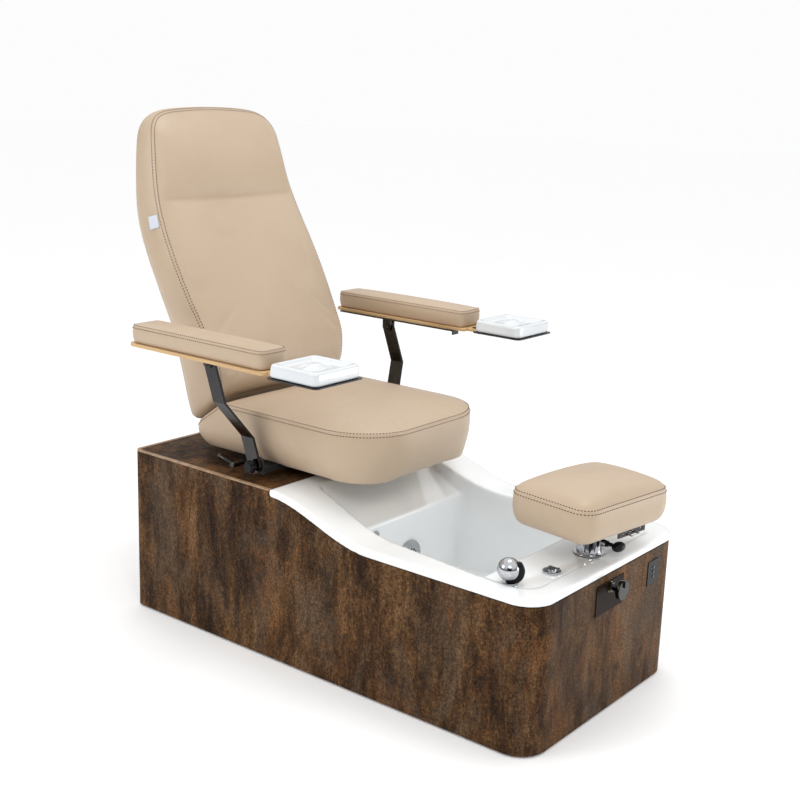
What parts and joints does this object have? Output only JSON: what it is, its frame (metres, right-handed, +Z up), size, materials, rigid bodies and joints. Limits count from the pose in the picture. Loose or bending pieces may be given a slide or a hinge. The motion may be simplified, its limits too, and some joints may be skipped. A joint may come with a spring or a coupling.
{
  "type": "pedicure spa chair",
  "caption": "Pedicure spa chair with a clad plinth and foot basin, swivel seat, reclining back, flip-up arms with manicure bowls, and a tilting footrest on a post.",
  "frame": {"origin": "on the floor at the middle of the plinth's footprint, under the middle levelling foot", "axes": "+Z up, +X to the sitter's left, -Y towards the foot end"},
  "size_m": [1.042, 1.5613, 1.46],
  "materials": {
    "laminate": "dark rust-brown mottled laminate",
    "trim": "tan edge band",
    "acrylic": "white gloss acrylic",
    "chrome": "polished chrome",
    "black_steel": "black powder coat",
    "steel": "polished steel",
    "dark_plate": "dark bronze",
    "black_plastic": "black",
    "pipe": "grey-white pipe",
    "brass": "brass",
    "rubber": "black rubber",
    "leather": "beige leatherette",
    "ply": "light plywood",
    "tag": "plain woven tag",
    "grey_plastic": "grey"
  },
  "bodies": {
    "base": {"base_frame": "black_steel", "feet": "rubber", "cladding_front": "laminate", "cladding_rear": "laminate", "edge_trim": "trim", "deck": "laminate", "basin": "acrylic", "overflow": "chrome", "drain_flange": "chrome", "waste_pipe": "pipe", "supply_pipes": "brass", "jet_motor": "grey_plastic", "jet_cover": "chrome", "spray_holder": "chrome", "mixer_plate": "dark_plate", "mixer_body": "brass", "control_panel": "black_plastic", "control_box": "grey_plastic", "post_sleeve": "chrome", "turntable_base": "black_steel"},
    "impeller": {"jet_impeller": "pipe"},
    "plug": {"drain_plug": "chrome"},
    "waste_knob": {"drain_knob": "chrome"},
    "spray": {"hand_spray": "chrome"},
    "mixer_lever": {"mixer_knob": "steel"},
    "button_1": {"panel_button_1": "grey_plastic"},
    "button_2": {"panel_button_2": "grey_plastic"},
    "button_3": {"panel_button_3": "grey_plastic"},
    "post_lock": {"post_lever": "black_plastic"},
    "post": {"footrest_post": "chrome"},
    "rest_head": {"footrest_head": "steel"},
    "rest": {"tilt_bracket": "steel", "footrest_board": "ply", "footrest_pad": "leather"},
    "tilt_lock": {"tilt_pull": "chrome"},
    "seat": {"turntable_top": "black_steel", "seat_frame": "black_steel", "seat_pan": "ply", "seat_cushion": "leather"},
    "seat_lever": {"recline_lever": "chrome"},
    "back": {"back_frame": "black_steel", "backrest_cushion": "leather", "back_panel": "leather", "side_tag": "tag"},
    "upright_r": {"upright_r": "steel"},
    "lock_r": {"arm_knob_r": "black_plastic"},
    "arm_r": {"arm_rail_r": "steel", "arm_board_r": "ply", "arm_pad_r": "leather"},
    "tray_r": {"tray_plate_r": "steel"},
    "dish_r": {"bowl_r": "acrylic"},
    "upright_l": {"upright_l": "steel"},
    "lock_l": {"arm_knob_l": "black_plastic"},
    "arm_l": {"arm_rail_l": "steel", "arm_board_l": "ply", "arm_pad_l": "leather"},
    "tray_l": {"tray_plate_l": "steel"},
    "dish_l": {"bowl_l": "acrylic"}
  },
  "joints": [
    {"name": "impeller_spin", "type": "hinge", "parent": "base", "child": "impeller", "pos_m": [0, -0.045, 0.255], "axis": [0, 1, 0], "continuous": true},
    {"name": "plug_lift", "type": "slide", "parent": "base", "child": "plug", "axis": [0, 0, 1], "range_m": [0, 0.012], "stiffness_N_per_m": 20, "springref_m": 0.097},
    {"name": "waste_knob_turn", "type": "hinge", "parent": "base", "child": "waste_knob", "pos_m": [-0.149, -0.61, 0.39], "axis": [0, 0, 1], "range_deg": [0, 90]},
    {"name": "spray_pull", "type": "slide", "parent": "base", "child": "spray", "axis": [0, 0, 1], "range_m": [0, 0.25]},
    {"name": "mixer_turn", "type": "hinge", "parent": "base", "child": "mixer_lever", "pos_m": [-0.015, -0.72, 0.35], "axis": [0, -1, 0], "range_deg": [-90, 90]},
    {"name": "button_1_press", "type": "slide", "parent": "base", "child": "button_1", "axis": [0, 1, 0], "range_m": [0, 0.0015], "stiffness_N_per_m": 400},
    {"name": "button_2_press", "type": "slide", "parent": "base", "child": "button_2", "axis": [0, 1, 0], "range_m": [0, 0.0015], "stiffness_N_per_m": 400},
    {"name": "button_3_press", "type": "slide", "parent": "base", "child": "button_3", "axis": [0, 1, 0], "range_m": [0, 0.0015], "stiffness_N_per_m": 400},
    {"name": "post_lock_turn", "type": "hinge", "parent": "base", "child": "post_lock", "pos_m": [0.04, -0.657, 0.436], "axis": [0, -1, 0], "range_deg": [0, 180]},
    {"name": "post_lift", "type": "slide", "parent": "base", "child": "post", "axis": [0, 0, 1], "range_m": [0, 0.12]},
    {"name": "rest_swivel", "type": "hinge", "parent": "post", "child": "rest_head", "pos_m": [0.033, -0.607, 0.44], "axis": [0, 0, 1], "range_deg": [-52, 68]},
    {"name": "rest_tilt", "type": "hinge", "parent": "rest_head", "child": "rest", "pos_m": [0.033, -0.607, 0.463], "axis": [-0.9903, 0.1392, 0], "range_deg": [-5, 25]},
    {"name": "tilt_pull_out", "type": "slide", "parent": "rest", "child": "tilt_lock", "axis": [-0.1392, -0.9903, 0], "range_m": [0, 0.008], "stiffness_N_per_m": 300},
    {"name": "seat_swivel", "type": "hinge", "parent": "base", "child": "seat", "pos_m": [0, 0.3, 0.49], "axis": [0, 0, 1], "range_deg": [-90, 90]},
    {"name": "recline_lever_lift", "type": "hinge", "parent": "seat", "child": "seat_lever", "pos_m": [-0.2, 0.33, 0.509], "axis": [1, 0, 0], "range_deg": [0, 20]},
    {"name": "back_recline", "type": "hinge", "parent": "seat", "child": "back", "pos_m": [0.1605, 0.575, 0.545], "axis": [-1, 0, 0], "range_deg": [0, 35]},
    {"name": "arm_tilt_r", "type": "hinge", "parent": "seat", "child": "upright_r", "pos_m": [-0.312, 0.246, 0.525], "axis": [1, 0, 0], "range_deg": [-8, 10]},
    {"name": "arm_lock_r", "type": "hinge", "parent": "seat", "child": "lock_r", "pos_m": [-0.32, 0.246, 0.525], "axis": [1, 0, 0], "range_deg": [-180, 180]},
    {"name": "arm_flip_r", "type": "hinge", "parent": "upright_r", "child": "arm_r", "pos_m": [-0.38, 0.35, 0.808], "axis": [-1, 0, 0], "range_deg": [0, 80]},
    {"name": "tray_swivel_r", "type": "hinge", "parent": "arm_r", "child": "tray_r", "pos_m": [-0.426, 0.03, 0.841], "axis": [0, 0, 1], "range_deg": [-35, 35]},
    {"name": "bowl_lift_r", "type": "slide", "parent": "tray_r", "child": "dish_r", "axis": [0, 0, 1], "range_m": [0, 0.08]},
    {"name": "arm_tilt_l", "type": "hinge", "parent": "seat", "child": "upright_l", "pos_m": [0.312, 0.246, 0.525], "axis": [1, 0, 0], "range_deg": [-8, 10]},
    {"name": "arm_lock_l", "type": "hinge", "parent": "seat", "child": "lock_l", "pos_m": [0.32, 0.246, 0.525], "axis": [1, 0, 0], "range_deg": [-180, 180]},
    {"name": "arm_flip_l", "type": "hinge", "parent": "upright_l", "child": "arm_l", "pos_m": [0.38, 0.35, 0.808], "axis": [-1, 0, 0], "range_deg": [0, 80]},
    {"name": "tray_swivel_l", "type": "hinge", "parent": "arm_l", "child": "tray_l", "pos_m": [0.426, 0.03, 0.841], "axis": [0, 0, 1], "range_deg": [-35, 35]},
    {"name": "bowl_lift_l", "type": "slide", "parent": "tray_l", "child": "dish_l", "axis": [0, 0, 1], "range_m": [0, 0.08]}
  ],
  "couplings": [
    {"joint": "plug_lift", "follows": "waste_knob_turn", "m_per_rad": 0.0076}
  ]
}
